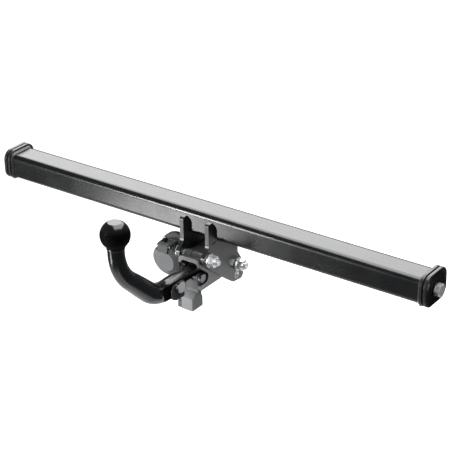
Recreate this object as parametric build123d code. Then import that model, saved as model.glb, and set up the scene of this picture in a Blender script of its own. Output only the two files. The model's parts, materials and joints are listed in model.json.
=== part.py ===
from build123d import *
import os
import math

os.makedirs("parts", exist_ok=True)

# ---------------------------------------------------------------- dimensions
# Frame: origin at the middle of the cross beam's section, on the mid plane
# between the two side plates. +X along the beam, -Y towards the tow ball
# (rearwards on the vehicle), +Z up. Millimetres.

# cross beam (rectangular hollow section)
BEAM_Y, BEAM_Z, BEAM_R, BEAM_T = 53.5, 46.2, 10.0, 4.0
BEAM_X0, BEAM_X1 = -441.0, 424.0
BEAM_MID = (BEAM_X0 + BEAM_X1) / 2
WELD = 4.0                       # end weld leg

# end plates
END_Y, END_Z, END_R, END_T = 67.5, 56.0, 18.0, 6.0
END_CY, END_CZ = 1.0, 2.0            # the plates stand a little higher than the tube
PAD_T, PAD_IN = 2.0, 2.4         # thin pad between flange and clamp plate
M12_AF, M12_R = 19.0, 6.0
WASH_R, WASH_T = 12.0, 2.5
LOW_HEAD_R, LOW_HEAD_T = 11.3, 3.3     # low round heads of the housing bolts
END_HEAD, END_SHANK = 8.5, 46.0

# side plates
PLATE_IN, PLATE_T = 22.7, 8.0
PLATE_OUT = PLATE_IN + PLATE_T
FRONT_BOLT = (-49.0, -48.0)
REAR_BOLT = (33.0, -90.6)
EYE = (29.5, -110.6)
EYE_R = 6.75
BOLT_HOLE_R = 6.4
BOLT_TIP = 50.0

# coupling housing (folded channel between the side plates)
HOUSE_OUT, HOUSE_T = 22.7, 5.0
HOUSE_IN = HOUSE_OUT - HOUSE_T
HOUSE_Y0, HOUSE_Y1 = -68.0, 44.0
HOUSE_TOP, HOUSE_BOT = -44.0, -103.0
RIM_T = 7.5
SLEEVE_R = 9.0

# cross pin
PIN = (-55.2, -83.75)
PIN_R, PIN_CORE_R = 8.5, 4.5
PIN_X = 20.5
SLOT_R = 10.5

# swan neck
BALL_Y, BALL_Z, BALL_R, BALL_TOP = -256.8, 79.4, 25.0, 101.7
NECK_R0, NECK_R1, ARM_R = 14.45, 18.2, 18.0
ARC1_R, ARC1_A, ARC1_Z = 89.2, 47.5, 49.9
NECK_L = 60.7
ARM_Z, ARM_END = -75.3, -100.0
FLAT_X, FLAT_Y = 12.5, -150.0
SPINE_BOT = -74.5
TAIL_END = -26.0

# key lock in the arm
LOCK = (-110.3, -77.3)
LOCK_BORE_R, PLUG_R = 9.25, 6.0
COVER_X = 14.3

# release lever
HUB_R, LEVER_X, CHEEK_X = 8.8, 14.7, 6.0
GRIP_X = 12.3

# locking bolt
LB_Z, LB_R, LB_SHOULDER, LB_NOSE, LB_TIP_R = -95.0, 3.5, 5.2, 4.0, 2.2
LB_Y0, LB_Y1 = -53.6, -15.0

# trailer socket
SOCK_O = (-66.0, -13.6, -74.3)   # centre of the flange's front face
SOCK_TILT = 5.2                  # mouth points this far below level
FLANGE_R, BARREL_R, BARREL_IN = 36.7, 27.0, 24.0
LID_R, LID_FACE_R = 29.2, 19.2
LID_Z0, LID_Z1 = 20.6, 38.0
HINGE_Y, HINGE_Z = 29.6, 34.0
LUG_R, LUG_L, KNUCKLE = (8.8, 11.2), (-14.7, -12.3), (-12.0, 8.5)   # along X, about the socket's centre


# ---------------------------------------------------------------- helpers
def rpoly(pts):
    """Closed 2-D outline from (u, v, corner radius) points."""
    n = len(pts)
    edges = []
    ends = []
    for i in range(n):
        u, v, r = pts[i]
        pu, pv = pts[i - 1][:2]
        nu, nv = pts[(i + 1) % n][:2]
        if r <= 0:
            ends.append(((u, v), (u, v), None))
            continue
        a = (pu - u, pv - v)
        b = (nu - u, nv - v)
        la, lb = math.hypot(*a), math.hypot(*b)
        a = (a[0] / la, a[1] / la)
        b = (b[0] / lb, b[1] / lb)
        half = math.acos(max(-1, min(1, a[0] * b[0] + a[1] * b[1]))) / 2
        t = r / math.tan(half)
        m = (a[0] + b[0], a[1] + b[1])
        lm = math.hypot(*m)
        m = (m[0] / lm, m[1] / lm)
        d = r / math.sin(half)
        mid = (u + m[0] * (d - r), v + m[1] * (d - r))
        ends.append(((u + a[0] * t, v + a[1] * t), (u + b[0] * t, v + b[1] * t), mid))
    for i in range(n):
        p0, p1, mid = ends[i]
        if mid is not None:
            edges.append(ThreePointArc(p0, mid, p1))
        q0 = ends[(i + 1) % n][0]
        if math.hypot(q0[0] - p1[0], q0[1] - p1[1]) > 1e-6:
            edges.append(Line(p1, q0))
    return make_face(edges)


def rrect(cu, cv, w, h, r):
    return rpoly([(cu - w / 2, cv - h / 2, r), (cu + w / 2, cv - h / 2, r),
                  (cu + w / 2, cv + h / 2, r), (cu - w / 2, cv + h / 2, r)])


def disc(u, v, r):
    return Pos(u, v) * Circle(r)


def ex_x(face, x0, x1):
    """Extrude a (Y, Z) outline from x0 to x1."""
    return extrude(Plane.YZ.offset(x0) * face, amount=x1 - x0)


def ex_y(face, y0, y1):
    """Extrude an (X, Z) outline from y0 to y1."""
    pl = Plane(origin=(0, y1, 0), x_dir=(1, 0, 0), z_dir=(0, -1, 0))
    return extrude(pl * face, amount=y1 - y0)


def ex_z(face, z0, z1):
    return extrude(Plane.XY.offset(z0) * face, amount=z1 - z0)


def cyl_x(c, r, x0, x1):
    return ex_x(disc(c[0], c[1], r), x0, x1)


def box(x0, x1, y0, y1, z0, z1):
    return Pos((x0 + x1) / 2, (y0 + y1) / 2, (z0 + z1) / 2) * Box(x1 - x0, y1 - y0, z1 - z0)


def hex_x(c, af, x0, x1, cham_hi=False, cham_lo=False):
    """Hexagonal prism along X with turned corner chamfers."""
    r = af / math.sqrt(3)
    body = ex_x(Pos(c[0], c[1]) * RegularPolygon(radius=r, side_count=6), x0, x1)
    turn = cyl_x(c, r + 0.01, x0, x1)
    rims = turn.edges().filter_by(GeomType.CIRCLE).sort_by(Axis.X)
    pick = ([rims[-1]] if cham_hi else []) + ([rims[0]] if cham_lo else [])
    if pick:
        turn = chamfer(pick, length=1.1)
    return body & turn


def solids_of(*parts):
    out = []
    for p in parts:
        out.extend(p.solids())
    return out


def save(name, *parts):
    got = solids_of(*parts)
    obj = got[0] if len(got) == 1 else Compound(children=got)
    obj.label = name
    export_step(obj, f"parts/{name}.step")


# ---------------------------------------------------------------- cross beam
tube = ex_x(rrect(0, 0, BEAM_Y, BEAM_Z, BEAM_R), BEAM_X0, BEAM_X1)
tube -= ex_x(rrect(0, 0, BEAM_Y - 2 * BEAM_T, BEAM_Z - 2 * BEAM_T, BEAM_R - BEAM_T), BEAM_X0 - 1, BEAM_X1 + 1)
save("cross_beam", tube)

# fillet welds between tube and flanges: a sloping ring round the tube
def end_weld(x_in, x_out):
    big = rrect(0, 0, BEAM_Y + 2 * WELD - 0.6, BEAM_Z + 2 * WELD - 0.6, BEAM_R + WELD - 0.3)
    small = rrect(0, 0, BEAM_Y + 1.2, BEAM_Z + 1.2, BEAM_R + 0.6)
    ring = loft([Plane.YZ.offset(x_out) * big, Plane.YZ.offset(x_in) * small])
    lo, hi = min(x_in, x_out), max(x_in, x_out)
    return ring - ex_x(rrect(0, 0, BEAM_Y + 0.06, BEAM_Z + 0.06, BEAM_R + 0.03), lo - 1, hi + 1)


save("end_welds", end_weld(BEAM_X1 - WELD, BEAM_X1), end_weld(BEAM_X0 + WELD, BEAM_X0))

outline = rrect(END_CY, END_CZ, END_Y, END_Z, END_R)
pad_outline = rrect(END_CY, END_CZ, END_Y - 2 * PAD_IN, END_Z - 2 * PAD_IN, END_R - PAD_IN)


def end_plate(x0, x1):
    p = ex_x(outline, x0, x1)
    p = fillet(p.edges().filter_by(Plane.YZ), radius=1.2)
    return p - cyl_x((0, 0), BOLT_HOLE_R, x0 - 1, x1 + 1)


XR, XL = BEAM_X1, BEAM_X0
save("end_flange_right", end_plate(XR, XR + END_T))
save("end_flange_left", end_plate(XL - END_T, XL))
save("clamp_plate_right", end_plate(XR + END_T + PAD_T, XR + 2 * END_T + PAD_T))
save("clamp_plate_left", end_plate(XL - 2 * END_T - PAD_T, XL - END_T - PAD_T))
pads = [ex_x(pad_outline, XR + END_T, XR + END_T + PAD_T),
        ex_x(pad_outline, XL - END_T - PAD_T, XL - END_T)]
pads = [p - cyl_x((0, 0), BOLT_HOLE_R, -500, 500) for p in pads]
save("end_pads", *pads)

END_OUT_R = XR + 2 * END_T + PAD_T
END_OUT_L = XL - 2 * END_T - PAD_T


def ring_x(c, ro, ri, x0, x1):
    w = ex_x(disc(c[0], c[1], ro), x0, x1)
    w = chamfer(w.edges().filter_by(GeomType.CIRCLE), length=0.4)
    return w - cyl_x(c, ri, min(x0, x1) - 1, max(x0, x1) + 1)


save("end_washers", ring_x((0, 0), WASH_R, M12_R + 0.3, END_OUT_R, END_OUT_R + WASH_T),
     ring_x((0, 0), WASH_R, M12_R + 0.3, END_OUT_L - WASH_T, END_OUT_L))

bolt_r = hex_x((0, 0), M12_AF, END_OUT_R + WASH_T, END_OUT_R + WASH_T + END_HEAD, cham_hi=True)
bolt_r += cyl_x((0, 0), M12_R, END_OUT_R + WASH_T - END_SHANK, END_OUT_R + WASH_T)
bolt_l = hex_x((0, 0), M12_AF, END_OUT_L - WASH_T - END_HEAD, END_OUT_L - WASH_T, cham_lo=True)
bolt_l += cyl_x((0, 0), M12_R, END_OUT_L - WASH_T, END_OUT_L - WASH_T + END_SHANK)
save("end_bolts", bolt_r, bolt_l)

nut_r = hex_x((0, 0), M12_AF, XR - 10, XR, cham_lo=True) - cyl_x((0, 0), M12_R + 0.05, XR - 20, XR + 1)
nut_l = hex_x((0, 0), M12_AF, XL, XL + 10, cham_hi=True) - cyl_x((0, 0), M12_R + 0.05, XL - 1, XL + 20)
save("end_weld_nuts", nut_r, nut_l)

# ---------------------------------------------------------------- side plates
side = rpoly([
    (-BEAM_Y / 2, 0.0, 0), (-30.0, 8.0, 12.0), (-39.5, 19.4, 7.0), (-51.3, 18.8, 5.5), (-50.9, -24.0, 15.0),
    (-58.6, -33.2, 5.0), (-64.9, -40.0, 10.0), (-65.0, -51.5, 11.0),
    (-48.7, -67.2, 3.0), (-14.4, -95.2, 6.0), (18.0, -120.2, 9.0),
    (45.0, -123.2, 8.0), (50.6, -110.0, 6.0), (50.6, -94.6, 6.0),
    (44.6, -84.7, 5.0), (32.8, -65.7, 6.0), (31.0, -52.0, 6.0),
    (BEAM_Y / 2, -BEAM_Z / 2, 0.0), (-BEAM_Y / 2, -BEAM_Z / 2, BEAM_R - 1.0)])


def side_plate(x0, x1):
    p = ex_x(side, x0, x1)
    for c, r in ((FRONT_BOLT, BOLT_HOLE_R), (REAR_BOLT, BOLT_HOLE_R), (EYE, EYE_R)):
        p -= cyl_x(c, r, x0 - 1, x1 + 1)
    return p


save("side_plate_right", side_plate(PLATE_IN, PLATE_OUT))
save("side_plate_left", side_plate(-PLATE_OUT, -PLATE_IN))

# stitch welds under the beam, on the outer faces of the plates
beads = []
for s in (1, -1):
    for y0, y1 in ((-16.6, -4.0), (4.0, 16.6)):
        tri = rpoly([(s * PLATE_OUT, -23.1, 0), (s * (PLATE_OUT + 4.5), -23.1, 0), (s * PLATE_OUT, -27.6, 0)])
        beads.append(ex_y(tri, y0, y1))
# short beads on the plates' outer faces, in front of the tube's lower edge
for s in (1, -1):
    bump = rpoly([(s * PLATE_OUT, -22.9, 0), (s * (PLATE_OUT + 1.1), -22.5, 0.4), (s * (PLATE_OUT + 1.5), -21.6, 0.6),
                  (s * (PLATE_OUT + 1.1), -20.7, 0.4), (s * PLATE_OUT, -20.3, 0)])
    beads.append(ex_y(bump, -40.5, -27.0))
save("plate_welds", *beads)

# ---------------------------------------------------------------- coupling housing
outer = rpoly([(-HOUSE_OUT, HOUSE_BOT, 0), (HOUSE_OUT, HOUSE_BOT, 0),
               (HOUSE_OUT, HOUSE_TOP, 8.0), (-HOUSE_OUT, HOUSE_TOP, 8.0)])
inner = rpoly([(-HOUSE_IN, HOUSE_BOT - 5, 0), (HOUSE_IN, HOUSE_BOT - 5, 0),
               (HOUSE_IN, HOUSE_TOP - HOUSE_T, 4.0), (-HOUSE_IN, HOUSE_TOP - HOUSE_T, 4.0)])
mouth = rpoly([(-HOUSE_IN, HOUSE_BOT - 5, 0), (HOUSE_IN, HOUSE_BOT - 5, 0),
               (HOUSE_IN, HOUSE_TOP - RIM_T, 6.5), (-HOUSE_IN, HOUSE_TOP - RIM_T, 6.5)])
house = ex_y(outer, HOUSE_Y0, HOUSE_Y1)
house -= ex_y(mouth, HOUSE_Y0 - 1, HOUSE_Y0 + 6)
house -= ex_y(inner, HOUSE_Y0 + 6, HOUSE_Y1 + 1)
# window in the roof over the front bolt
house -= box(-14.0, 14.0, -60.0, -38.0, -56.0, -40.0)
house -= cyl_x(FRONT_BOLT, SLEEVE_R + 0.4, -HOUSE_IN, HOUSE_IN)
# the walls narrow towards the back and bottom, under the side plates' outline
trim = rpoly([(-80, -130, 0), (-66.0, -103.0, 0), (-68.0, -100.5, 0), (-80, -100.5, 0)])
house -= ex_x(trim, -30, 30)
back = rpoly([(24.0, -110.0, 0), (50.0, -110.0, 0), (50.0, -70.0, 0), (46.5, -84.0, 0), (43.0, -100.0, 0)])
house -= ex_x(back, -30, 30)
# U-slots for the cross pin, open to the front
ux, uz = -0.78, 0.62
sc = (PIN[0] + 1.2, PIN[1] + 1.4)
slot = rpoly([(sc[0] - SLOT_R * uz * 0 - 0.0, PIN[1] - 9.25, 0),
              (-90.0, PIN[1] - 9.25, 0),
              (-90.0, sc[1] + SLOT_R * 0.78 + (sc[0] - SLOT_R * 0.62 * -1 - (-90.0)) * 0.62 / 0.78, 0),
              (sc[0] + SLOT_R * 0.62, sc[1] + SLOT_R * 0.78, 0),
              (sc[0] + 2.0, sc[1], 0)])
house -= ex_x(slot, -30, 30)
house -= cyl_x(sc, SLOT_R, -30, 30)
house -= ex_x(rpoly([(sc[0], PIN[1] - 9.25, 0), (sc[0] - 8, PIN[1] - 9.25, 0), (sc[0] - 8, sc[1], 0), (sc[0], sc[1], 0)]), -30, 30)
for c, r in ((FRONT_BOLT, BOLT_HOLE_R), (REAR_BOLT, BOLT_HOLE_R)):
    house -= cyl_x(c, r, -30, 30)
SUPPORT = (-33.0, -56.0)
SUPPORT_R = 5.0
house -= cyl_x(SUPPORT, SUPPORT_R, -30, 30)
save("coupling_housing", house)

save("support_shaft", cyl_x(SUPPORT, SUPPORT_R - 0.04, -PLATE_IN, PLATE_IN))

# catch: an upper and a lower bar between the walls, the bolt's nose goes in between
save("catch_plate",
     box(-HOUSE_IN, HOUSE_IN, -21.0, -16.0, LB_Z + LB_NOSE + 0.3, -84.0),
     box(-HOUSE_IN, HOUSE_IN, -21.0, -16.0, HOUSE_BOT, LB_Z - LB_NOSE - 0.3))

save("bolt_sleeves",
     ring_x(FRONT_BOLT, SLEEVE_R, M12_R + 0.3, -HOUSE_IN, -5.0),
     ring_x(FRONT_BOLT, SLEEVE_R, M12_R + 0.3, -3.6, HOUSE_IN),
     ring_x(REAR_BOLT, SLEEVE_R, M12_R + 0.3, -HOUSE_IN, HOUSE_IN))

bolts, nuts, washers = [], [], []
for c in (FRONT_BOLT, REAR_BOLT):
    b = cyl_x(c, LOW_HEAD_R, -PLATE_OUT - WASH_T - LOW_HEAD_T, -PLATE_OUT - WASH_T)
    b = fillet(b.edges().filter_by(GeomType.CIRCLE).sort_by(Axis.X)[0], radius=0.9)
    b -= ex_x(Pos(c[0], c[1]) * RegularPolygon(radius=8.0 / math.sqrt(3), side_count=6), -PLATE_OUT - WASH_T - LOW_HEAD_T - 1, -PLATE_OUT - WASH_T + 1.0)
    sh = cyl_x(c, M12_R, -PLATE_OUT - WASH_T, BOLT_TIP)
    sh = chamfer(sh.edges().filter_by(GeomType.CIRCLE).sort_by(Axis.X)[-1], length=1.2)
    bolts.append(b + sh)
    nuts.append(hex_x(c, M12_AF, PLATE_OUT + WASH_T, PLATE_OUT + WASH_T + 10, cham_hi=True, cham_lo=True)
                - cyl_x(c, M12_R + 0.05, 20, 60))
    washers.append(ring_x(c, WASH_R, M12_R + 0.3, PLATE_OUT, PLATE_OUT + WASH_T))
    washers.append(ring_x(c, WASH_R, M12_R + 0.3, -PLATE_OUT - WASH_T, -PLATE_OUT))
save("housing_bolts", *bolts)
save("housing_nuts", *nuts)
save("housing_washers", *washers)

# ---------------------------------------------------------------- swan neck
ca = math.radians(ARC1_A)
p0 = (0, BALL_Y, 62.0)
p1 = (0, BALL_Y, ARC1_Z)
c1 = (BALL_Y + ARC1_R, ARC1_Z)
pm = (0, c1[0] - ARC1_R * math.cos(ca / 2), c1[1] - ARC1_R * math.sin(ca / 2))
p2 = (0, c1[0] - ARC1_R * math.cos(ca), c1[1] - ARC1_R * math.sin(ca))
hd = math.radians(90 - ARC1_A)           # heading below level
p3 = (0, p2[1] + NECK_L * math.cos(hd), p2[2] - NECK_L * math.sin(hd))
R2 = (p3[2] - ARM_Z) / (1 - math.cos(hd))
c2 = (p3[1] + R2 * math.sin(hd), p3[2] + R2 * math.cos(hd))
pn = (0, c2[0] - R2 * math.sin(hd / 2), c2[1] - R2 * math.cos(hd / 2))
p4 = (0, c2[0], ARM_Z)
path = Wire([Line(p0, p1).edge(), ThreePointArc(p1, pm, p2).edge(), Line(p2, p3).edge(),
             ThreePointArc(p3, pn, p4).edge()])
length = path.length
arc_len = ARC1_R * ca


def station(s, r):
    t = s / length
    return Plane(origin=path.position_at(t), z_dir=path.tangent_at(t)) * Circle(r)


l0 = p0[2] - p1[2]
sections = [station(0, NECK_R0), station(l0 + 0.30 * arc_len, NECK_R0 + 0.1),
            station(l0 + arc_len, NECK_R0 + 1.9), station(l0 + arc_len + NECK_L * 0.9, NECK_R1),
            station(length, ARM_R)]
neck = sweep(sections=sections, path=path, multisection=True)
neck += extrude(Plane(origin=(0, p4[1] - 0.5, ARM_Z), z_dir=(0, 1, 0)) * Circle(ARM_R), amount=ARM_END - p4[1] + 0.5)
# milled flats on both sides of the arm, with curved run-outs
for s in (1, -1):
    cut = box(FLAT_X, 40, FLAT_Y, -90.0, -110, -40) if s > 0 else box(-40, -FLAT_X, FLAT_Y, -90.0, -110, -40)
    ro = Plane(origin=(s * (FLAT_X + 30), FLAT_Y, -75), z_dir=(0, 0, 1)) * Circle(30)
    ro = extrude(ro, amount=40, both=True)
    neck -= cut
    neck -= ro
# spine and tail inside the housing
bar = Plane(origin=(0, ARM_END - 1.0, ARM_Z), z_dir=(0, 1, 0)) * Circle(ARM_R)
bar = extrude(bar, amount=TAIL_END - ARM_END + 1.0)
keep = box(-FLAT_X, FLAT_X, ARM_END - 1.5, -42.0, SPINE_BOT, -50)
keep += box(-FLAT_X, FLAT_X, -42.5, TAIL_END, SPINE_BOT, -61.4)
tail = bar & keep
neck += tail
# round corner under the spine where the full arm ends
gus = rpoly([(ARM_END - 1, SPINE_BOT + 1, 0), (ARM_END + 7, SPINE_BOT + 1, 0), (ARM_END - 1, SPINE_BOT - 7, 0)])
gus = ex_x(gus, -FLAT_X, FLAT_X) - Plane(origin=(-20, ARM_END + 7, SPINE_BOT - 7), z_dir=(1, 0, 0)) * Pos(0, 0, 20) * Cylinder(7, 60)
neck += gus & extrude(Plane(origin=(0, ARM_END - 1.0, ARM_Z), z_dir=(0, 1, 0)) * Circle(ARM_R), amount=20)
# lug round the cross pin and keel for the locking bolt
lug = ex_x(rpoly([(PIN[0] - 7.2, SPINE_BOT + 1, 0), (PIN[0] - 7.2, PIN[1], 0), (PIN[0] + 7.2, PIN[1], 0), (PIN[0] + 7.2, SPINE_BOT + 1, 0)]), -5.5, 5.5)
lug += cyl_x(PIN, 7.2, -5.5, 5.5)
keel = ex_x(rpoly([(-45.9, SPINE_BOT + 1, 0), (-45.9, -102.4, 2.0), (-27.9, -102.4, 2.0), (-27.9, SPINE_BOT + 1, 0)]), -8.0, 8.0)
neck += lug
neck += keel
neck -= ex_y(disc(0, LB_Z, LB_R + 0.05), -50, -40)
neck -= ex_y(disc(0, LB_Z, LB_SHOULDER + 0.3), -43.0, -20)
neck -= cyl_x(PIN, PIN_CORE_R + 0.02, -10, 10)
neck -= cyl_x(LOCK, LOCK_BORE_R, -30, 30)
# ball with flat top, and the small collar under it
ball = Pos(0, BALL_Y, BALL_Z) * Sphere(BALL_R)
ball -= box(-40, 40, BALL_Y - 40, BALL_Y + 40, BALL_TOP, BALL_TOP + 20)
collar = Pos(0, BALL_Y, 57.6) * Cylinder(NECK_R0 + 1.0, 5.0)
collar = fillet(collar.edges().filter_by(GeomType.CIRCLE), radius=0.9)
neck += collar
neck += ball
save("swan_neck", neck)

# ---------------------------------------------------------------- cross pin
core = cyl_x(PIN, PIN_CORE_R, -18.5, 16.0)
head = cyl_x(PIN, PIN_R, 15.0, PIN_X)
head = chamfer(head.edges().filter_by(GeomType.CIRCLE).sort_by(Axis.X)[-1], length=0.8)
save("cross_pin", core + head)
bush = cyl_x(PIN, PIN_R, -PIN_X, -15.0)
bush = chamfer(bush.edges().filter_by(GeomType.CIRCLE).sort_by(Axis.X)[0], length=0.8)
bush -= cyl_x(PIN, PIN_CORE_R, -18.5, -10.0)
save("pin_bush", bush)

# ---------------------------------------------------------------- release lever
hub = cyl_x(PIN, HUB_R, -LEVER_X, LEVER_X)
hub = fillet(hub.edges().filter_by(GeomType.CIRCLE), radius=0.8)
panel = ex_x(rpoly([(-62.5, PIN[1] + 2.0, 3.0), (-62.5, -112.0, 0), (-54.0, -114.0, 0), (-54.0, PIN[1] - 3.0, 0)]),
             -LEVER_X, LEVER_X)
panel = fillet(panel.edges().filter_by(Axis.Z).group_by(Axis.Y)[0], radius=2.0)
grip = ex_x(rpoly([(-62.5, -109.0, 0), (-77.5, -118.5, 1.0), (-77.5, -142.0, 1.2), (-47.5, -142.0, 1.2),
                   (-47.5, -124.5, 2.0), (-52.0, -114.0, 3.0), (-54.0, -109.0, 0)]), -GRIP_X, GRIP_X)
grip = fillet(grip.edges().filter_by(Axis.Z).group_by(Axis.Y)[0] + grip.edges().filter_by(Axis.Z).group_by(Axis.Y)[-1], radius=1.0)
flange = ex_x(rpoly([(-76.6, -130.0, 1.5), (-76.6, -141.6, 1.5), (-52.0, -141.6, 1.5), (-52.0, -122.0, 3.0), (-66.0, -122.0, 3.0)]), -20.0, -GRIP_X + 0.5)
shoulder = loft([Plane(origin=(0, -58.3, -106.0), x_dir=(1, 0, 0), z_dir=(0, 0, -1)) * Rectangle(2 * LEVER_X, 8.2),
                 Plane(origin=(0, -59.5, -116.0), x_dir=(1, 0, 0), z_dir=(0, 0, -1)) * Rectangle(2 * GRIP_X, 10.0)])
lever = hub + panel + grip + flange + shoulder
lever -= cyl_x(PIN, 7.55, -CHEEK_X, CHEEK_X)
lever -= box(-CHEEK_X, CHEEK_X, -72, -40, PIN[1] - 3.4, PIN[1] + 20)
lever -= cyl_x(PIN, PIN_CORE_R + 0.05, -30, 30)
# the hub's back half is open between the cheeks so the locking bolt can pass
lever -= box(-CHEEK_X, CHEEK_X, -54.0, -40, -100, PIN[1])
save("lever_handle", lever)

# ---------------------------------------------------------------- locking bolt and spring
def cyl_y(x, z, r, y0, y1):
    return ex_y(disc(x, z, r), y0, y1)


lb = cyl_y(0, LB_Z, LB_R, -46.4, -30.0)
tip = cyl_y(0, LB_Z, LB_TIP_R, LB_Y0, -46.0)
tip = chamfer(tip.edges().filter_by(GeomType.CIRCLE).sort_by(Axis.Y)[0], length=1.1)
lb += tip
lb += cyl_y(0, LB_Z, LB_SHOULDER, -31.0, -28.5)
nose = cyl_y(0, LB_Z, LB_NOSE, -29.0, LB_Y1)
nose = chamfer(nose.edges().filter_by(GeomType.CIRCLE).sort_by(Axis.Y)[-1], length=1.5)
save("locking_bolt", lb + nose)

SPR_Y0, SPR_Y1, WIRE = -43.0, -31.0, 0.9
helix = Helix(pitch=(SPR_Y1 - SPR_Y0 - WIRE - 0.2) / 4, height=SPR_Y1 - SPR_Y0 - WIRE - 0.2, radius=4.45,
              center=(0, SPR_Y0 + WIRE / 2 + 0.1, LB_Z), direction=(0, 1, 0))
coil = sweep(Plane(origin=helix @ 0, z_dir=helix % 0) * Circle(WIRE / 2), path=helix)
save("locking_spring", coil)

# ---------------------------------------------------------------- key lock
cyl = cyl_x(LOCK, LOCK_BORE_R - 0.05, -FLAT_X, FLAT_X) - cyl_x(LOCK, PLUG_R + 0.05, -30, 30)
cyl -= cyl_x(LOCK, 7.6, -FLAT_X - 1, -FLAT_X + 2.5)
save("lock_cylinder", cyl)

plug = cyl_x(LOCK, PLUG_R, -10.0, 13.2)
plug += cyl_x(LOCK, 2.5, -13.0, -9.0)
plug += ex_x(rpoly([(LOCK[0] - 2.0, LOCK[1] - 2.0, 0), (LOCK[0] + 2.0, LOCK[1] - 2.0, 0), (LOCK[0] + 2.0, LOCK[1] + 6.5, 1.5), (LOCK[0] - 2.0, LOCK[1] + 6.5, 1.5)]), -12.3, -10.0)
plug -= ex_x(rrect(LOCK[0], LOCK[1], 1.8, 8.0, 0.6), 6.0, 14.0)
save("lock_plug", plug)

# plastic cover clipped over the arm's right side and underneath
cov = ex_x(rpoly([(-135.0, -86.0, 3.0), (-130.0, -94.0, 3.0), (-122.0, -97.3, 3.0), (-101.0, -97.3, 3.0), (-101.0, -66.0, 4.0), (-129.0, -66.0, 5.0), (-135.0, -74.0, 5.0)]), FLAT_X + 0.05, COVER_X)
low = ex_x(rpoly([(-133.5, -84.0, 0), (-135.0, -86.0, 1.0), (-130.0, -94.0, 3.0), (-122.0, -97.3, 3.0), (-101.0, -97.3, 3.0), (-101.0, -84.0, 0)]), -9.0, COVER_X)
arm_clear = extrude(Plane(origin=(0, -170, ARM_Z), z_dir=(0, 1, 0)) * Circle(ARM_R + 0.6), amount=90)
low -= arm_clear & box(-40, FLAT_X + 0.05, -180, -60, -120, -40)
cov += low
cov -= cyl_x(LOCK, PLUG_R + 0.6, 0, 30)
rim = ring_x(LOCK, 12.6, 10.7, COVER_X - 0.3, COVER_X + 1.6)
cov += rim
CAP_HX, CAP_HY = 15.9, -124.8
ear_gap = box(COVER_X, 30, -126.5, -115.5, -76.6, -66.4)
cov -= ear_gap
lug_a = extrude(Plane(origin=(CAP_HX, CAP_HY, -75.6), z_dir=(0, 0, 1)) * Circle(1.6), amount=1.8)
lug_a += box(COVER_X - 0.5, CAP_HX, CAP_HY - 1.6, CAP_HY + 1.6, -75.6, -73.8)
lug_b = extrude(Plane(origin=(CAP_HX, CAP_HY, -69.2), z_dir=(0, 0, 1)) * Circle(1.6), amount=1.8)
lug_b += box(COVER_X - 0.5, CAP_HX, CAP_HY - 1.6, CAP_HY + 1.6, -69.2, -67.4)
hole = extrude(Plane(origin=(CAP_HX, CAP_HY, -80), z_dir=(0, 0, 1)) * Circle(0.75), amount=20)
cov += lug_a + lug_b
cov -= extrude(Plane(origin=(CAP_HX, CAP_HY, -76.2), z_dir=(0, 0, 1)) * Circle(0.75), amount=9.4)
save("lock_cover", cov)

cap = cyl_x(LOCK, 10.2, COVER_X + 0.3, COVER_X + 2.3)
cap = fillet(cap.edges().filter_by(GeomType.CIRCLE).sort_by(Axis.X)[-1], radius=0.7)
ear = ex_x(rpoly([(CAP_HY, -73.4, 0), (CAP_HY, -69.6, 0), (-114.0, -69.6, 0), (-112.0, -75.4, 0)]), CAP_HX - 0.9, CAP_HX + 0.5)
knk = extrude(Plane(origin=(CAP_HX, CAP_HY, -73.4), z_dir=(0, 0, 1)) * Circle(1.4), amount=3.8)
cap += ear + knk
cap -= extrude(Plane(origin=(CAP_HX, CAP_HY, -80), z_dir=(0, 0, 1)) * Circle(0.8), amount=20)
save("lock_cap", cap)
cpin = extrude(Plane(origin=(CAP_HX, CAP_HY, -76.2), z_dir=(0, 0, 1)) * Circle(0.75), amount=9.4)
cpin += extrude(Plane(origin=(CAP_HX, CAP_HY, -67.4), z_dir=(0, 0, 1)) * Circle(1.3), amount=0.8)
save("lock_cap_pin", cpin)

# ---------------------------------------------------------------- trailer socket
tau = math.radians(SOCK_TILT)
SP = Plane(origin=SOCK_O, x_dir=(1, 0, 0), z_dir=(0, -math.cos(tau), -math.sin(tau)))


def sz(face, z0, z1):
    """Extrude a face in the socket's own plane from z0 to z1 (towards the mouth)."""
    return extrude(SP.offset(z0) * face, amount=z1 - z0)


def to_sock(obj):
    return SP.location * obj


clip = box(-PLATE_OUT - 0.5, 60, -80, 60, -140, 0)
SCREWS = [(32.3 * math.cos(math.radians(a)), 32.3 * math.sin(math.radians(a))) for a in (40, 140, 270)]

# bracket: round plate with a tab along the left side plate
brk = sz(Circle(FLANGE_R - 0.4), -9.0, -5.0) - box(-PLATE_OUT - 0.0, 60, -80, 60, -140, 0)
tab = ex_x(rpoly([(-14.0, -96.0, 3.0), (15.5, -100.0, 3.0), (15.5, -52.0, 4.0), (-14.0, -46.0, 3.0)]), -PLATE_OUT - 3.6, -PLATE_OUT)
brk += tab - sz(Rectangle(200, 200), -5.0, 40.0)
brk -= sz(Circle(20.0), -12.0, -2.0)
for u, v in SCREWS:
    brk -= sz(Pos(u, v) * Circle(2.2), -14.0, 0)
save("socket_bracket", brk)

bw = []
for z0 in (-95.0, -69.0):
    bw.append(box(-PLATE_OUT - 4.0, -PLATE_OUT, 15.5, 19.0, z0 - 0.5, z0 + 12.5))
bw = [chamfer(b.edges().filter_by(Axis.Z).sort_by(lambda e: e.center().X - e.center().Y)[0], length=2.8) for b in bw]
save("bracket_welds", *bw)

gsk = sz(Circle(FLANGE_R - 1.4), -5.0, -3.0) - sz(Circle(20.5), -6, -2) - clip
for u, v in SCREWS:
    gsk -= sz(Pos(u, v) * Circle(2.3), -8.0, 0)
save("socket_gasket", gsk)

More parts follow.
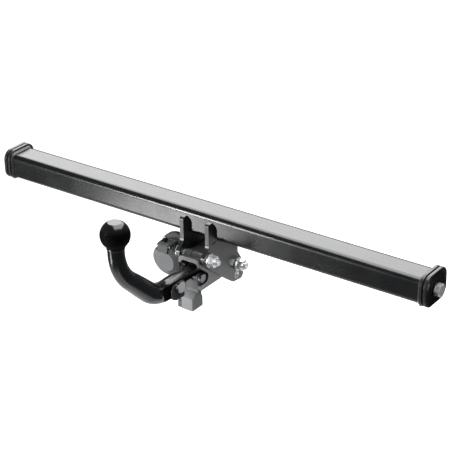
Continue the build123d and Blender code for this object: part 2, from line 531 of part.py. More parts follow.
body = sz(Circle(FLANGE_R), -3.0, 0.0)
body += sz(Circle(BARREL_R), -1.0, 22.0)
shoulder_r = sz(Circle(BARREL_R + 1.3), -1.0, 8.0)
shoulder_r = fillet(shoulder_r.edges().filter_by(GeomType.CIRCLE).sort_by(Axis.Y)[0], radius=1.2)
body += shoulder_r
body -= clip
body -= sz(Circle(BARREL_IN), 6.0, 30.0)
body -= sz(Circle(20.5), -6.0, 7.0)
for i in range(4):                       # keyways inside the mouth
    a = 45 + 90 * i
    body -= sz(Rot(0, 0, a) * Pos(BARREL_IN, 0) * Rectangle(2.4, 5.0), 12.0, 30.0)
# hinge lugs above the barrel
def lug_out(bot):
    return rpoly([(9.4, bot, 0), (20.4, bot, 0), (20.4, 29.7, 0), (30.6, 29.7, 0.6), (32.2, 26.9, 1.0), (35.8, 26.9, 1.6), (37.2, 29.6, 1.6),
                  (36.0, 32.6, 1.6), (31.0, 33.0, 0), (14.0, 32.4, 3.0), (9.4, 28.9, 0)])


def sx(face_zy, x0, x1):
    """Extrude an outline given in the socket's (depth, height) axes along X."""
    pl = Plane(origin=SOCK_O, x_dir=(0, -math.cos(tau), -math.sin(tau)), z_dir=(-1, 0, 0))
    return extrude(pl.offset(-x1 + 0.0) * face_zy, amount=x1 - x0)


body += sx(lug_out(23.0), *LUG_R)
body += sx(lug_out(21.0), *LUG_L)
body -= sx(disc(HINGE_Z, HINGE_Y, 1.55), -20, 20)
for u, v in SCREWS:
    body -= sz(Pos(u, v) * Circle(2.2), -8.0, 3.0)
save("socket_body", body)

HOLES = [(16.4 * math.cos(math.radians(90 + 40 * i)), 16.4 * math.sin(math.radians(90 + 40 * i))) for i in range(9)]
HOLES += [(7.6 * math.cos(math.radians(45 + 90 * i)), 7.6 * math.sin(math.radians(45 + 90 * i))) for i in range(4)]
ins = sz(Circle(BARREL_IN - 0.05), 6.0, 12.0)
ins -= sz(Pos(0, 0) * Circle(2.2), 8.0, 13.0)
for u, v in HOLES:
    ins -= sz(Pos(u, v) * Circle(1.9), 2.0, 20.0)
save("contact_insert", ins)
save("contact_sleeves", *[sz(Pos(u, v) * Circle(1.85), 0.5, 11.4) - sz(Pos(u, v) * Circle(1.25), 3.0, 12.0) for u, v in HOLES])

# lid: skirt, bevelled dome and flat face, with the knuckle box at the top
def turned(profile):
    """Revolve (radius, depth) points about the socket's axis."""
    pl = Plane(origin=SOCK_O, x_dir=(1, 0, 0), z_dir=(0, -math.sin(tau), math.cos(tau)))
    # local x = radius, local y = depth towards the mouth
    f = pl * make_face(Polyline([(r, -z) for r, z in profile] + [(profile[0][0], -profile[0][1])]))
    ax = Axis(SOCK_O, (0, -math.cos(tau), -math.sin(tau)))
    return revolve(f, axis=ax, revolution_arc=360)


lid = turned([(0, 24.6), (25.4, 24.6), (27.7, 24.0), (27.7, LID_Z0), (LID_R, LID_Z0), (LID_R, 33.0),
              (LID_R - 0.5, 34.0), (LID_FACE_R + 1.2, 37.5), (LID_FACE_R, LID_Z1), (0, LID_Z1)])
knuckle = sx(rpoly([(25.5, 16.0, 0), (37.5, 16.0, 0), (40.6, 20.0, 0.6), (36.7, 31.8, 1.6), (33.2, 33.8, 2.0), (28.4, 33.0, 2.0), (27.4, 28.5, 0)]),
             *KNUCKLE)
lid += knuckle
lid -= turned([(0, 23.9), (24.5, 23.9), (24.5, 26.6), (0, 26.6)])
# the skirt stops short near the hinge, and leaves room for the lugs
lid -= sx(rpoly([(15.0, 13.5, 0), (22.4, 13.5, 0), (22.4, 45.0, 0), (15.0, 45.0, 0)]), -40, 40)
for x0, x1 in (LUG_R, LUG_L):
    lid -= sx(disc(HINGE_Z, HINGE_Y, 4.1), x0 - 0.3, x1 + 0.3)
lid -= sx(disc(HINGE_Z, HINGE_Y, 1.55), -30, 30)
# pocket for the spring, open at the back
lid -= sx(rpoly([(24.0, HINGE_Y - 2.8, 0), (HINGE_Z, HINGE_Y - 2.8, 0), (HINGE_Z, HINGE_Y + 2.8, 0), (24.0, HINGE_Y + 2.8, 0)]), 3.1, 7.9)
lid -= sx(disc(HINGE_Z, HINGE_Y, 2.8), 3.1, 7.9)
save("socket_lid", lid)
seal = turned([(21.0, 24.2), (24.44, 24.2), (24.44, 26.6), (21.0, 26.6)])
seal += turned([(22.0, 22.5), (24.4, 22.5), (24.4, 24.6), (22.0, 24.6)])
save("lid_seal", seal)

hp = sx(disc(HINGE_Z, HINGE_Y, 1.5), LUG_L[0] - 0.5, LUG_R[1] + 0.5)
hp += sx(disc(HINGE_Z, HINGE_Y, 2.4), LUG_R[1] + 0.05, LUG_R[1] + 1.4)
hp += sx(disc(HINGE_Z, HINGE_Y, 2.1), LUG_L[0] - 0.9, LUG_L[0] - 0.05)
save("lid_hinge_pin", hp)

# torsion spring round the hinge pin
hx = Helix(pitch=1.2, height=3.6, radius=2.1, center=(0, 0, 0), direction=(1, 0, 0))
spr = sweep(Plane(origin=hx @ 0, z_dir=hx % 0) * Circle(0.4), path=hx)
hinge_c = (SOCK_O[0], SOCK_O[1] - HINGE_Z * math.cos(tau) - HINGE_Y * math.sin(tau),
           SOCK_O[2] - HINGE_Z * math.sin(tau) + HINGE_Y * math.cos(tau))
save("lid_spring", Pos(hinge_c[0] + 3.7, hinge_c[1], hinge_c[2]) * spr)

# fixing screws with nuts
scr, snut = [], []
for u, v in SCREWS:
    s = sz(Pos(u, v) * Circle(3.5), 0.0, 2.4)
    s = fillet(s.edges().filter_by(GeomType.CIRCLE).sort_by(Axis.Y)[0], radius=1.0)
    s -= sz(Pos(u, v) * Rectangle(0.9, 4.6), 1.2, 3.0)
    s -= sz(Pos(u, v) * Rectangle(4.6, 0.9), 1.2, 3.0)
    s += sz(Pos(u, v) * Circle(2.0), -15.0, 0.1)
    scr.append(s)
    snut.append(sz(Pos(u, v) * RegularPolygon(radius=7.0 / math.sqrt(3), side_count=6), -12.4, -9.0)
                - sz(Pos(u, v) * Circle(2.05), -14.0, 0))
save("socket_screws", *scr)
save("socket_nuts", *snut)

# rubber boot behind the bracket and the gland where the cable enters
boot = turned([(14.0, -9.0), (26.0, -9.0), (26.0, -12.5), (22.0, -13.5), (19.0, -26.0), (9.5, -34.0), (9.5, -40.0),
               (6.5, -40.0), (6.5, -32.5), (16.5, -24.0), (19.2, -12.0), (19.2, -9.0 + 0.0), (14.0, -9.0)][1:12])
save("socket_boot", boot)
gland = sz(Circle(6.45) - Circle(4.6), -44.0, -33.5)
gnut = sz(RegularPolygon(radius=11.0, side_count=6) - Circle(4.6), -47.0, -40.2)
save("cable_gland", gland + gnut)
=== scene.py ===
import json
import math
import random

import bmesh
import bpy
from mathutils import Matrix, Vector

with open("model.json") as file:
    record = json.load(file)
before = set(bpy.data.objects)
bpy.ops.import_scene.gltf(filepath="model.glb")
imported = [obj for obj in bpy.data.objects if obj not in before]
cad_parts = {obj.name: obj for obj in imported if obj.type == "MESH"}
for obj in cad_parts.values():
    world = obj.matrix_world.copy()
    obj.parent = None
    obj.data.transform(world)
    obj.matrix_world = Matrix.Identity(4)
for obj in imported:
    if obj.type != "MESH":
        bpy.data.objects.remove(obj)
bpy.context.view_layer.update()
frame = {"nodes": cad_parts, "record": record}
NODES = frame["nodes"]


scene = bpy.context.scene
MM = 0.001

# ------------------------------------------------------------------ camera
F_PX, W_PX = 1545.0, 452.0
YAW, PITCH, ROLL = math.radians(-36.13), math.radians(26.53), math.radians(-1.0)
CAM_AT = Vector((1.4287, -1.9158, 1.1811))
fwd = Vector((math.sin(YAW) * math.cos(PITCH), math.cos(YAW) * math.cos(PITCH), -math.sin(PITCH)))
right = Vector((math.cos(YAW), -math.sin(YAW), 0))
up = right.cross(fwd)
c, s = math.cos(ROLL), math.sin(ROLL)
cam_x = c * right + s * up
cam_y = -s * right + c * up
cam_data = bpy.data.cameras.new("camera")
cam_data.sensor_width = 36.0
cam_data.lens = 36.0 * F_PX / W_PX
cam_data.clip_end = 60
cam = bpy.data.objects.new("camera", cam_data)
scene.collection.objects.link(cam)
cam.matrix_world = Matrix(((cam_x.x, cam_y.x, -fwd.x, CAM_AT.x), (cam_x.y, cam_y.y, -fwd.y, CAM_AT.y),
                           (cam_x.z, cam_y.z, -fwd.z, CAM_AT.z), (0, 0, 0, 1)))
scene.camera = cam
scene.view_settings.view_transform = "Standard"
scene.view_settings.look = "None"


# ------------------------------------------------------------------ lights
def panel(name, at, to, size, watts, shape="RECTANGLE", spread=180):
    ld = bpy.data.lights.new(name, "AREA")
    ld.shape = shape
    ld.size, ld.size_y = size
    ld.energy = watts
    ld.spread = math.radians(spread)
    ob = bpy.data.objects.new(name, ld)
    scene.collection.objects.link(ob)
    at, to = Vector(at), Vector(to)
    ob.location = at
    ob.rotation_euler = (to - at).to_track_quat("-Z", "Y").to_euler()
    ob.visible_camera = False
    return ob


def mirror_dir(p, n):
    p, n = Vector(p), Vector(n).normalized()
    d = (p - CAM_AT).normalized()
    return d - 2 * d.dot(n) * n


def radiant(size, radiance):
    """Watts that give an area lamp this radiance."""
    return radiance * math.pi * size[0] * size[1]


def lit(name, p, n, dist, size, radiance, shift=(0, 0, 0), spread=180):
    r = mirror_dir(p, n)
    at = Vector(p) + r * dist + Vector(shift)
    return panel(name, at, p, size, radiant(size, radiance), spread=spread)


def placed(name, centre, x_dir, z_dir, size, radiance, shape="RECTANGLE"):
    """Area lamp at a centre, its width along x_dir, shining away from z_dir."""
    ob = panel(name, centre, (0, 0, 0), size, radiant(size, radiance) * (0.7854 if shape == "ELLIPSE" else 1.0), shape)
    z = Vector(z_dir).normalized()
    x = Vector(x_dir).normalized()
    x = (x - x.dot(z) * z).normalized()
    y = z.cross(x)
    ob.rotation_euler = Matrix((x, y, z)).transposed().to_euler()
    return ob


def light_only(lamp, names, which="receiver", state="INCLUDE"):
    """Light linking: the lamp shines on these nodes only, or isn't shaded by them."""
    col = bpy.data.collections.new(lamp.name + "_" + which)
    for n in names:
        col.objects.link(NODES[n])
    for member in col.collection_objects:
        member.light_linking.link_state = state
    setattr(lamp.light_linking, which + "_collection", col)


# big soft box overhead and behind, seen in the level faces and on the ball's top
SB_N, SB_U, SB_W = Vector((-0.435, 0.101, 0.895)), Vector((-0.703, 0.583, -0.408)), Vector((0.563, 0.806, 0.182))
SB_LEN, SB_WID = 3.9, 2.34
sb_corner = Vector((0.577, -1.04, 1.902))
placed("soft_box", sb_corner + SB_U * SB_LEN / 2 + SB_W * SB_WID / 2, SB_U, SB_N, (SB_LEN, SB_WID), 3.2)

# low panel in front, seen in the middle of the upright faces
aim = Vector((-0.085, -0.027, 0))
r = mirror_dir(aim, (0, -1, 0))
low_panel = placed("low_panel", aim + r * 1.25 + Vector((0, 0, -0.10)), (0.8, -0.6, 0), r, (0.29, 0.44), 6.3, "ELLIPSE")
light_only(low_panel, ["side_plate_left", "side_plate_right", "swan_neck", "socket_lid", "socket_body"], "blocker", "EXCLUDE")

# strip at the horizon, front left: bright lines on the upper front roundings
aim = Vector((-0.06, -0.03, 0))
r = Vector((-0.5275, -0.845, -0.025)).normalized()
strip = placed("strip", aim + r * 1.8, (0.845, -0.5275, 0), r, (0.27, 0.70), 23.0, "ELLIPSE")
light_only(strip, ["side_plate_left", "side_plate_right", "swan_neck", "socket_lid", "socket_body"], "blocker", "EXCLUDE")
light_only(strip, ["bolt_sleeves", "housing_bolts", "catch_plate", "support_shaft"], "receiver", "EXCLUDE")

# upright strip light for the neck's front edge
aim = Vector((-0.003, -0.268, 0.02))
r = mirror_dir(aim, (0.04, -0.999, 0.0))
neck_strip = placed("neck_strip", aim + r * 1.2, (0.8, -0.6, 0), r, (0.30, 0.55), 7.0)
light_only(neck_strip, ["swan_neck"])
light_only(low_panel, ["swan_neck"], "receiver", "EXCLUDE")

# pale ground as the neck's underside sees it
neck_under = placed("neck_under", (-0.7, 0.9, -1.35), (0.8, 0.6, 0), (-0.35, 0.55, -0.76), (2.4, 2.4), 0.2)
light_only(neck_under, ["swan_neck"])
neck_front = placed("neck_front", (0.0, -0.55, -1.3), (1, 0, 0), (0.0, -0.35, -0.94), (1.5, 1.3), 0.25)
light_only(neck_front, ["swan_neck"])

# side panel, right and low, seen in the faces that look to the right
aim = Vector((0.03, -0.05, -0.09))
r = mirror_dir(aim, (1, 0, 0))
side_panel = placed("side_panel", aim + r * 0.9 + Vector((0.05, 0.0, -0.2)), (0.8, -0.6, 0), r, (0.7, 0.40), 1.75)
light_only(side_panel, ["side_plate_right", "coupling_housing", "housing_nuts", "housing_bolts",
                        "housing_washers", "end_bolts", "lock_cap", "lock_plug", "cross_pin", "plate_welds"])

# pale ground under and behind
under_back = placed("under_back", (-0.9, 1.25, -1.1), (0.8, 0.6, 0), (-0.53, 0.72, -0.45), (3.0, 1.4), 0.9)
light_only(under_back, ["cross_beam"], "receiver", "EXCLUDE")
placed("under", (-0.4, -0.1, -1.3), (1, 0, 0), (0, 0, -1), (2.2, 2.0), 0.45)

# fill from the front left: lights the matt plastics, leaves no mirror image in the gloss paint
fill = panel("fill", (-1.2, -2.2, 1.2), (0, -0.1, -0.05), (1.2, 1.2), 50.0)
fill.visible_glossy = False

# weak fill from the right for the lever's grip
grip_fill = panel("grip_fill", (1.9, -0.3, 0.1), (0, -0.06, -0.12), (1.0, 1.0), 7.0)
grip_fill.visible_glossy = False
light_only(grip_fill, ["lever_handle", "lock_cap", "cross_pin"])

# small fill from the right for the bright bolts and nuts
bolt_fill = panel("bolt_fill", (1.5, -1.2, 0.9), (0.05, 0, -0.05), (0.8, 0.8), 26.0)
light_only(bolt_fill, ["housing_nuts", "housing_bolts", "housing_washers", "end_bolts", "plate_welds"])

world = bpy.data.worlds.new("world")
world.use_nodes = True
world.node_tree.nodes["Background"].inputs[0].default_value = (0.9, 0.95, 1.0, 1)
world.node_tree.nodes["Background"].inputs[1].default_value = 0.09
scene.world = world


# ------------------------------------------------------------------ materials
class Mat:
    """Small helper round a node tree with one principled shader."""

    def __init__(self, name):
        self.m = bpy.data.materials.new(name)
        self.m.use_nodes = True
        self.t = self.m.node_tree
        self.b = self.t.nodes["Principled BSDF"]
        self.tc = self.t.nodes.new("ShaderNodeTexCoord")
        self.normal = None

    def node(self, kind, **props):
        n = self.t.nodes.new(kind)
        for k, v in props.items():
            setattr(n, k, v)
        return n

    def link(self, a, b):
        self.t.links.new(a, b)

    def set(self, **kw):
        for k, v in kw.items():
            self.b.inputs[k.replace("_", " ")].default_value = v
        return self

    def noise(self, scale, detail=3.0, rough=0.55, stretch=None, distort=0.0):
        n = self.node("ShaderNodeTexNoise")
        n.inputs["Scale"].default_value = scale
        n.inputs["Detail"].default_value = detail
        n.inputs["Roughness"].default_value = rough
        n.inputs["Distortion"].default_value = distort
        if stretch:
            mp = self.node("ShaderNodeMapping")
            mp.inputs["Scale"].default_value = stretch
            self.link(self.tc.outputs["Object"], mp.inputs["Vector"])
            self.link(mp.outputs["Vector"], n.inputs["Vector"])
        else:
            self.link(self.tc.outputs["Object"], n.inputs["Vector"])
        return n.outputs["Fac"]

    def ramp(self, fac, stops):
        r = self.node("ShaderNodeValToRGB")
        e = r.color_ramp.elements
        while len(e) > 1:
            e.remove(e[-1])
        e[0].position, e[0].color = stops[0][0], self.rgba(stops[0][1])
        for p, col in stops[1:]:
            x = e.new(p)
            x.color = self.rgba(col)
        self.link(fac, r.inputs["Fac"])
        return r.outputs["Color"]

    @staticmethod
    def rgba(c):
        if isinstance(c, (int, float)):
            return (c, c, c, 1)
        return tuple(c) + (1,)

    def mix(self, fac, a, b):
        n = self.node("ShaderNodeMix", data_type="RGBA")
        if isinstance(fac, float):
            n.inputs[0].default_value = fac
        else:
            self.link(fac, n.inputs[0])
        for sock, v in ((n.inputs[6], a), (n.inputs[7], b)):
            if hasattr(v, "links"):
                self.link(v, sock)
            else:
                sock.default_value = self.rgba(v)
        return n.outputs[2]

    def math(self, op, a, b=None, clamp=False):
        n = self.node("ShaderNodeMath", operation=op, use_clamp=clamp)
        for sock, v in ((n.inputs[0], a), (n.inputs[1], b)):
            if v is None:
                continue
            if hasattr(v, "links"):
                self.link(v, sock)
            else:
                sock.default_value = v
        return n.outputs[0]

    def round_edges(self, radius):
        n = self.node("ShaderNodeBevel")
        n.samples = 4
        n.inputs["Radius"].default_value = radius
        self.normal = n.outputs["Normal"]
        return self

    def bump(self, height, distance, strength=1.0):
        n = self.node("ShaderNodeBump")
        n.inputs["Strength"].default_value = strength
        n.inputs["Distance"].default_value = distance
        self.link(height, n.inputs["Height"])
        if self.normal is not None:
            self.link(self.normal, n.inputs["Normal"])
        self.normal = n.outputs["Normal"]
        return self

    def edge_mask(self, radius, gain=3.0):
        """Near 1 on sharp edges, 0 on flats."""
        bev = self.node("ShaderNodeBevel")
        bev.samples = 4
        bev.inputs["Radius"].default_value = radius
        geo = self.node("ShaderNodeNewGeometry")
        dot = self.node("ShaderNodeVectorMath", operation="DOT_PRODUCT")
        self.link(bev.outputs["Normal"], dot.inputs[0])
        self.link(geo.outputs["Normal"], dot.inputs[1])
        inv = self.math("SUBTRACT", 1.0, dot.outputs["Value"])
        return self.math("MULTIPLY", inv, gain, clamp=True)

    def around(self, point, axis, inner, outer):
        """1 nearer to an axis than inner, 0 beyond outer."""
        sub = self.node("ShaderNodeVectorMath", operation="SUBTRACT")
        sub.inputs[1].default_value = point
        self.link(self.tc.outputs["Object"], sub.inputs[0])
        cr = self.node("ShaderNodeVectorMath", operation="CROSS_PRODUCT")
        cr.inputs[1].default_value = axis
        self.link(sub.outputs[0], cr.inputs[0])
        ln = self.node("ShaderNodeVectorMath", operation="LENGTH")
        self.link(cr.outputs[0], ln.inputs[0])
        return self.between(ln.outputs["Value"], outer, inner)

    def between(self, value, zero_at, one_at):
        mr = self.node("ShaderNodeMapRange")
        mr.inputs["From Min"].default_value = zero_at
        mr.inputs["From Max"].default_value = one_at
        self.link(value, mr.inputs["Value"])
        return mr.outputs["Result"]

    def coord(self, axis):
        sep = self.node("ShaderNodeSeparateXYZ")
        self.link(self.tc.outputs["Object"], sep.inputs[0])
        return sep.outputs[axis]

    def out(self, color=None, rough=None, metal=None):
        if color is not None:
            self.link(color, self.b.inputs["Base Color"])
        if rough is not None:
            self.link(rough, self.b.inputs["Roughness"])
        if metal is not None:
            self.link(metal, self.b.inputs["Metallic"])
        if self.normal is not None:
            self.link(self.normal, self.b.inputs["Normal"])
        return self.m


def powder_coat(name, dark, light, rough, spec=0.5, coat=0.0, coat_rough=0.15, peel=0.00006, edge=0.0008, wear=0.25, eyes=None):
    """Black powder coat: orange peel, faint dust, edges rubbed a little lighter."""
    m = Mat(name)
    m.round_edges(edge)
    m.bump(m.noise(900, 2.0, 0.5), peel)
    tone = m.ramp(m.noise(60, 4.0, 0.6), [(0.3, dark), (0.7, light)])
    mask = m.edge_mask(0.0009, 2.2)
    rub = m.math("MULTIPLY", mask, m.ramp(m.noise(160, 4.0, 0.7), [(0.45, 0.0), (0.62, 1.0)]), clamp=True)
    rub = m.math("MULTIPLY", rub, wear)
    col = m.mix(rub, tone, [min(1, v * 4 + 0.05) for v in light])
    r = m.ramp(m.noise(25, 3.0, 0.5), [(0.3, rough * 0.88), (0.7, rough * 1.12)])
    m.set(Specular_IOR_Level=spec, Coat_Weight=coat, Coat_Roughness=coat_rough)
    if eyes:
        # the paint is rubbed off inside the safety eyes
        bare = m.math("MULTIPLY", m.around((0, eyes[0], eyes[1]), (1, 0, 0), eyes[2], eyes[2] + 0.0005),
                      m.ramp(m.noise(500, 3.0, 0.6), [(0.3, 0.55), (0.6, 1.0)]))
        col = m.mix(bare, col, (0.80, 0.80, 0.81))
    return m.out(col, r)


def neck_coat(name):
    """Gloss black neck paint; below its crown the ball carries a dull dark film, painted shade that takes away the
    reflections there.
    """
    m = powder_coat(name, (0.003, 0.003, 0.0033), (0.005, 0.005, 0.0054), 0.2, spec=0.7, coat=0.5, coat_rough=0.12,
                    peel=0.000006, edge=0.0003, wear=0.05)
    t = m.node_tree
    out = t.nodes["Material Output"]
    paint = t.nodes["Principled BSDF"]
    # painted shade: a dull near-black film mixed over the gloss paint where the mask says
    film = t.nodes.new("ShaderNodeBsdfPrincipled")
    tc = t.nodes.new("ShaderNodeTexCoord")
    sub = t.nodes.new("ShaderNodeVectorMath")
    sub.operation = "SUBTRACT"
    sub.inputs[1].default_value = (0, -0.2568, 0.0794)
    t.links.new(tc.outputs["Object"], sub.inputs[0])
    ln = t.nodes.new("ShaderNodeVectorMath")
    ln.operation = "LENGTH"
    t.links.new(sub.outputs[0], ln.inputs[0])
    inside = t.nodes.new("ShaderNodeMapRange")
    inside.inputs["From Min"].default_value = 0.0254
    inside.inputs["From Max"].default_value = 0.0262
    inside.inputs["To Min"].default_value = 1.0
    inside.inputs["To Max"].default_value = 0.0
    t.links.new(ln.outputs["Value"], inside.inputs["Value"])
    sep = t.nodes.new("ShaderNodeSeparateXYZ")
    t.links.new(sub.outputs[0], sep.inputs[0])
    low = t.nodes.new("ShaderNodeMapRange")
    low.inputs["From Min"].default_value = 0.0085
    low.inputs["From Max"].default_value = 0.0150
    low.inputs["To Min"].default_value = 1.0
    low.inputs["To Max"].default_value = 0.0
    t.links.new(sep.outputs["Z"], low.inputs["Value"])
    shade_film_mottle = t.nodes.new("ShaderNodeTexNoise")
    shade_film_mottle.inputs["Scale"].default_value = 110
    shade_film_mottle.inputs["Detail"].default_value = 4
    t.links.new(tc.outputs["Object"], shade_film_mottle.inputs["Vector"])
    tone = t.nodes.new("ShaderNodeValToRGB")
    tone.color_ramp.elements[0].color = (0.0016, 0.0016, 0.0018, 1)
    tone.color_ramp.elements[1].color = (0.0035, 0.0035, 0.0038, 1)
    t.links.new(shade_film_mottle.outputs["Fac"], tone.inputs["Fac"])
    t.links.new(tone.outputs["Color"], film.inputs["Base Color"])
    rough = t.nodes.new("ShaderNodeMapRange")
    rough.inputs["To Min"].default_value = 0.55
    rough.inputs["To Max"].default_value = 0.75
    t.links.new(shade_film_mottle.outputs["Fac"], rough.inputs["Value"])
    t.links.new(rough.outputs["Result"], film.inputs["Roughness"])
    film.inputs["Specular IOR Level"].default_value = 0.06

    def calc(op, a, b):
        n = t.nodes.new("ShaderNodeMath")
        n.operation = op
        for sock, v in ((n.inputs[0], a), (n.inputs[1], b)):
            if hasattr(v, "links"):
                t.links.new(v, sock)
            else:
                sock.default_value = v
        return n.outputs[0]

    def step(value, zero_at, one_at):
        n = t.nodes.new("ShaderNodeMapRange")
        n.inputs["From Min"].default_value = zero_at
        n.inputs["From Max"].default_value = one_at
        t.links.new(value, n.inputs["Value"])
        return n.outputs["Result"]

    both = calc("MULTIPLY", inside.outputs["Result"], low.outputs["Result"])
    # the same painted-shade film on the arm's flat, up to a slanting edge in front and a level one above
    pos = t.nodes.new("ShaderNodeSeparateXYZ")
    t.links.new(tc.outputs["Object"], pos.inputs[0])
    px, py, pz = pos.outputs[0], pos.outputs[1], pos.outputs[2]
    front = step(calc("ADD", calc("ADD", py, calc("MULTIPLY", pz, 0.765)), 0.2165), -0.001, 0.003)
    above = step(calc("ADD", pz, calc("MULTIPLY", py, 0.107)), -0.0755, -0.0768)
    side = step(px, 0.004, 0.007)
    flat = calc("MULTIPLY", calc("MULTIPLY", front, above), side)
    both = calc("MAXIMUM", both, flat)
    mx = t.nodes.new("ShaderNodeMixShader")
    t.links.new(both, mx.inputs[0])
    t.links.new(paint.outputs[0], mx.inputs[1])
    t.links.new(film.outputs[0], mx.inputs[2])
    t.links.new(mx.outputs[0], out.inputs["Surface"])
    return m


def dulled(m, where, tone=((0.010, 0.010, 0.011), (0.022, 0.022, 0.023))):
    """Lay a dull dark film over a painted material where the mask says: painted shade that takes away the reflections
    there.
    """
    k = Mat.__new__(Mat)
    k.m, k.t = m, m.node_tree
    paint = k.t.nodes["Principled BSDF"]
    k.tc = k.t.nodes.new("ShaderNodeTexCoord")
    shade_film = k.node("ShaderNodeBsdfPrincipled")
    k.link(k.ramp(k.noise(140, 4.0, 0.6), [(0.3, tone[0]), (0.7, tone[1])]), shade_film.inputs["Base Color"])
    shade_film.inputs["Roughness"].default_value = 0.7
    shade_film.inputs["Specular IOR Level"].default_value = 0.08
    mx = k.node("ShaderNodeMixShader")
    k.link(where(k), mx.inputs[0])
    k.link(paint.outputs[0], mx.inputs[1])
    k.link(shade_film.outputs[0], mx.inputs[2])
    k.link(mx.outputs[0], k.t.nodes["Material Output"].inputs["Surface"])
    return m


def beam_coat(name):
    """Gloss black tube paint; a dull dark film of painted shade lies along the rear upper rounding."""
    m = powder_coat(name, (0.003, 0.0031, 0.0034), (0.005, 0.0052, 0.0055), 0.25, spec=0.9, coat=0.35, coat_rough=0.2,
                    peel=0.000008, wear=0.06)
    return dulled(m, lambda k: k.math("MULTIPLY", k.between(k.coord("Y"), 0.0160, 0.0180), k.between(k.coord("Z"), 0.0120, 0.0160)))


def clamp_coat(name):
    """Paint of the clamp plates; on the right one's outer face round the bolt a dull film of painted shade gives an
    even soft dark tone.
    """
    m = powder_coat(name, (0.012, 0.0123, 0.013), (0.018, 0.0183, 0.019), 0.32, spec=0.8, coat=0.24, coat_rough=0.27, peel=0.00003)
    return dulled(m, lambda k: k.math("MULTIPLY", k.between(k.coord("X"), 0.4370, 0.4377), k.around((0, 0, 0), (1, 0, 0), 0.0270, 0.0360)),
                  ((0.020, 0.020, 0.021), (0.032, 0.032, 0.033)))


def zinc(name, tint=(0.82, 0.83, 0.84), rough=0.22):
    """Bright zinc plate: fine turned marks, cloudy passivation, a few dull darker patches at random."""
    m = Mat(name)
    m.round_edges(0.0004)
    m.bump(m.noise(700, 2.0, 0.5, stretch=(1, 2, 2)), 0.000003)
    tone = m.ramp(m.noise(120, 3.0, 0.55), [(0.3, [v * 0.9 for v in tint]), (0.7, tint)])
    dirt = m.ramp(m.noise(300, 4.0, 0.6), [(0.66, 0.0), (0.78, 1.0)])
    col = m.mix(m.math("MULTIPLY", dirt, 0.12), tone, [v * 0.5 for v in tint])
    r = m.ramp(m.noise(200, 3.0, 0.6), [(0.3, rough * 0.85), (0.7, rough * 1.15)])
    m.set(Metallic=0.7)
    return m.out(col, r)


def plastic(name, dark, light, rough, grain=0.00005, gscale=1600, spec=0.45, edge=0.0006, wear=0.15, shade=None, lip_highlight=None):
    """Moulded plastic: fine spark-eroded grain, slight colour drift, scuffed edges."""
    m = Mat(name)
    m.round_edges(edge)
    m.bump(m.noise(gscale, 3.0, 0.6), grain)
    tone = m.ramp(m.noise(45, 4.0, 0.6), [(0.3, dark), (0.7, light)])
    mask = m.edge_mask(0.0008, 2.0)
    scuff = m.math("MULTIPLY", mask, m.ramp(m.noise(220, 4.0, 0.7), [(0.45, 0.0), (0.6, 1.0)]), clamp=True)
    col = m.mix(m.math("MULTIPLY", scuff, wear), tone, [min(1, v * 1.6 + 0.1) for v in light])
    r = m.ramp(m.noise(90, 3.0, 0.6), [(0.3, rough * 0.9), (0.7, rough * 1.12)])
    m.set(Specular_IOR_Level=spec)
    # painted shade: darken the colour where the shade mask says, with a little noise in it
    if shade:
        fac = shade(m)
        shade_mottle = m.mix(m.ramp(m.noise(70, 4.0, 0.6), [(0.3, 0.8), (0.7, 1.0)]), (0, 0, 0), (1, 1, 1))
        fac = m.math("MULTIPLY", fac, shade_mottle)
        col = m.mix(fac, col, [v * 0.25 for v in light])
    # painted highlight: lighten the colour along the lip mask
    if lip_highlight:
        col = m.mix(lip_highlight(m), col, [min(1.0, v * 2.0) for v in light])
    return m.out(col, r)


def lever_shade(m):
    """Darker flange beside the grip, and painted shade on the lever above the grip's shelf, where the arm overhangs it.
    """
    flange = m.between(m.coord("X"), -0.0108, -0.0114)
    low = m.between(m.coord("Z"), -0.1205, -0.1225)
    upper = m.math("MULTIPLY", m.between(m.coord("Z"), -0.1190, -0.1030), 0.92)
    return m.math("MAXIMUM", m.math("MULTIPLY", flange, low), upper)


def lid_shade(m):
    """Painted shade: the lid's face is left as it is; its bevel, darker towards the right, and its hinge block are
    darkened.
    """
    face = m.around((-0.066, -0.03581, -0.07632), (0, -0.9959, -0.0906), 0.0190, 0.0195)
    right = m.math("MULTIPLY", m.between(m.coord("X"), -0.0680, -0.0560), 0.8)
    block = m.between(m.coord("Z"), -0.0612, -0.0598)
    return m.math("MULTIPLY", m.math("SUBTRACT", 1.0, face), m.math("MAXIMUM", right, block))


def lid_lip_highlight(m):
    """Painted highlight: a bright line along the edge between the hinge block and the lid's face."""
    args = (-0.066, -0.03581, -0.07632), (0, -0.9959, -0.0906)
    ring = m.math("SUBTRACT", m.around(*args, 0.0199, 0.0203), m.around(*args, 0.0190, 0.0194), clamp=True)
    return m.math("MULTIPLY", ring, m.math("MULTIPLY", m.between(m.coord("Z"), -0.0612, -0.0600), m.between(m.coord("X"), -0.0600, -0.0620)))


def rubber(name, tone=(0.016, 0.016, 0.017), rough=0.7):
    m = Mat(name)
    m.bump(m.noise(1100, 4.0, 0.65), 0.00008)
    col = m.ramp(m.noise(120, 4.0, 0.6), [(0.35, tone), (0.8, [v * 2.4 for v in tone])])
    r = m.ramp(m.noise(140, 3.0, 0.6), [(0.3, rough * 0.88), (0.7, min(1.0, rough * 1.15))])
    m.set(Specular_IOR_Level=0.3)
    return m.out(col, r)


def bare_steel(name, tint=(0.42, 0.42, 0.43), rough=0.32):
    m = Mat(name)
    m.round_edges(0.0003)
    m.bump(m.noise(1800, 2.0, 0.5, stretch=(8, 1, 1)), 0.00002)
    col = m.ramp(m.noise(240, 5.0, 0.65), [(0.3, [v * 0.75 for v in tint]), (0.7, tint)])
    r = m.ramp(m.noise(200, 3.0, 0.6), [(0.3, rough * 0.8), (0.7, rough * 1.3)])
    m.set(Metallic=1.0)
    return m.out(col, r)


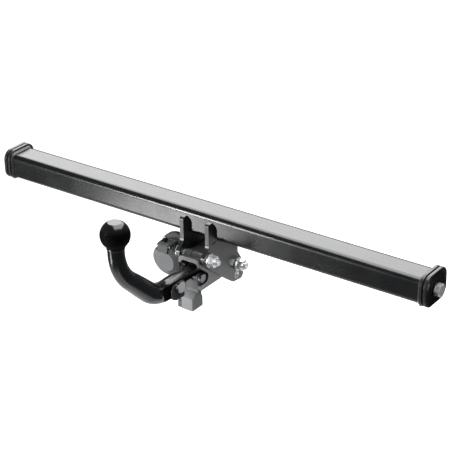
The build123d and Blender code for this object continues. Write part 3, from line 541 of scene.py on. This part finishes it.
EYE_YZ = (0.0295, -0.1106)
MATS = {
    "beam_paint": beam_coat("beam_paint"),
    "weld_paint": powder_coat("weld_paint", (0.03, 0.03, 0.032), (0.06, 0.06, 0.062), 0.3, spec=0.8, peel=0.0002),
    "plate_paint": powder_coat("plate_paint", (0.012, 0.0123, 0.013), (0.018, 0.0183, 0.019), 0.32, spec=0.8, coat=0.24, coat_rough=0.27, peel=0.00003, eyes=(EYE_YZ[0], EYE_YZ[1], 0.0071)),
    "housing_paint": powder_coat("housing_paint", (0.045, 0.0455, 0.0465), (0.06, 0.0605, 0.0615), 0.34, spec=1.0, coat=0.3, coat_rough=0.3),
    "neck_paint": neck_coat("neck_paint"),
    "bracket_paint": powder_coat("bracket_paint", (0.014, 0.014, 0.015), (0.022, 0.022, 0.023), 0.38),
    "zinc": zinc("zinc"),
    "steel": bare_steel("steel"),
    "pin_steel": bare_steel("pin_steel", (0.25, 0.25, 0.26), 0.38),
    "spring_steel": bare_steel("spring_steel", (0.3, 0.3, 0.31), 0.3),
    "lock_metal": bare_steel("lock_metal", (0.55, 0.47, 0.3), 0.3),
    "contact_brass": bare_steel("contact_brass", (0.75, 0.58, 0.28), 0.25),
    "pad_rubber": rubber("pad_rubber"),
    "rubber_black": rubber("rubber_black"),
    "grey_plastic": plastic("grey_plastic", (0.34, 0.345, 0.35), (0.39, 0.395, 0.40), 0.42, shade=lever_shade),
    "cover_plastic": plastic("cover_plastic", (0.07, 0.07, 0.073), (0.09, 0.09, 0.094), 0.45),
    "socket_plastic": plastic("socket_plastic", (0.06, 0.06, 0.063), (0.08, 0.08, 0.084), 0.42),
    "lid_plastic": plastic("lid_plastic", (0.2, 0.203, 0.207), (0.24, 0.243, 0.247), 0.45, shade=lid_shade, lip_highlight=lid_lip_highlight),
    "insert_plastic": plastic("insert_plastic", (0.02, 0.02, 0.021), (0.03, 0.03, 0.031), 0.5),
}

CAP = plastic("cap_plastic", (0.46, 0.465, 0.47), (0.52, 0.525, 0.53), 0.42)
CLAMP = clamp_coat("clamp_paint")
slot_of = {p["node"]: p["material_slot"] for p in frame["record"]["subparts"]}
for name, ob in NODES.items():
    ob.data.materials.clear()
    if name.startswith("clamp_plate"):
        ob.data.materials.append(CLAMP)
    elif name == "end_washers":
        ob.data.materials.append(MATS["plate_paint"])
    else:
        ob.data.materials.append(CAP if name == "lock_cap" else MATS[slot_of[name]])
    ob.data.polygons.foreach_set("material_index", [0] * len(ob.data.polygons))

# ------------------------------------------------------------------ floor
floor_mesh = bpy.data.meshes.new("floor")
FZ, FS = -1.6, 14.0
floor_mesh.from_pydata([(-FS, -FS, FZ), (FS, -FS, FZ), (FS, FS, FZ), (-FS, FS, FZ)], [], [(0, 1, 2, 3)])
floor = bpy.data.objects.new("floor", floor_mesh)
scene.collection.objects.link(floor)
fm = bpy.data.materials.new("floor")
fm.use_nodes = True
fb = fm.node_tree.nodes["Principled BSDF"]
fb.inputs["Base Color"].default_value = (0.9, 0.9, 0.9, 1)
fb.inputs["Roughness"].default_value = 0.9
fb.inputs["Emission Color"].default_value = (1, 1, 1, 1)
fb.inputs["Emission Strength"].default_value = 1.0
floor.data.materials.append(fm)
floor.visible_glossy = False
floor.visible_diffuse = False
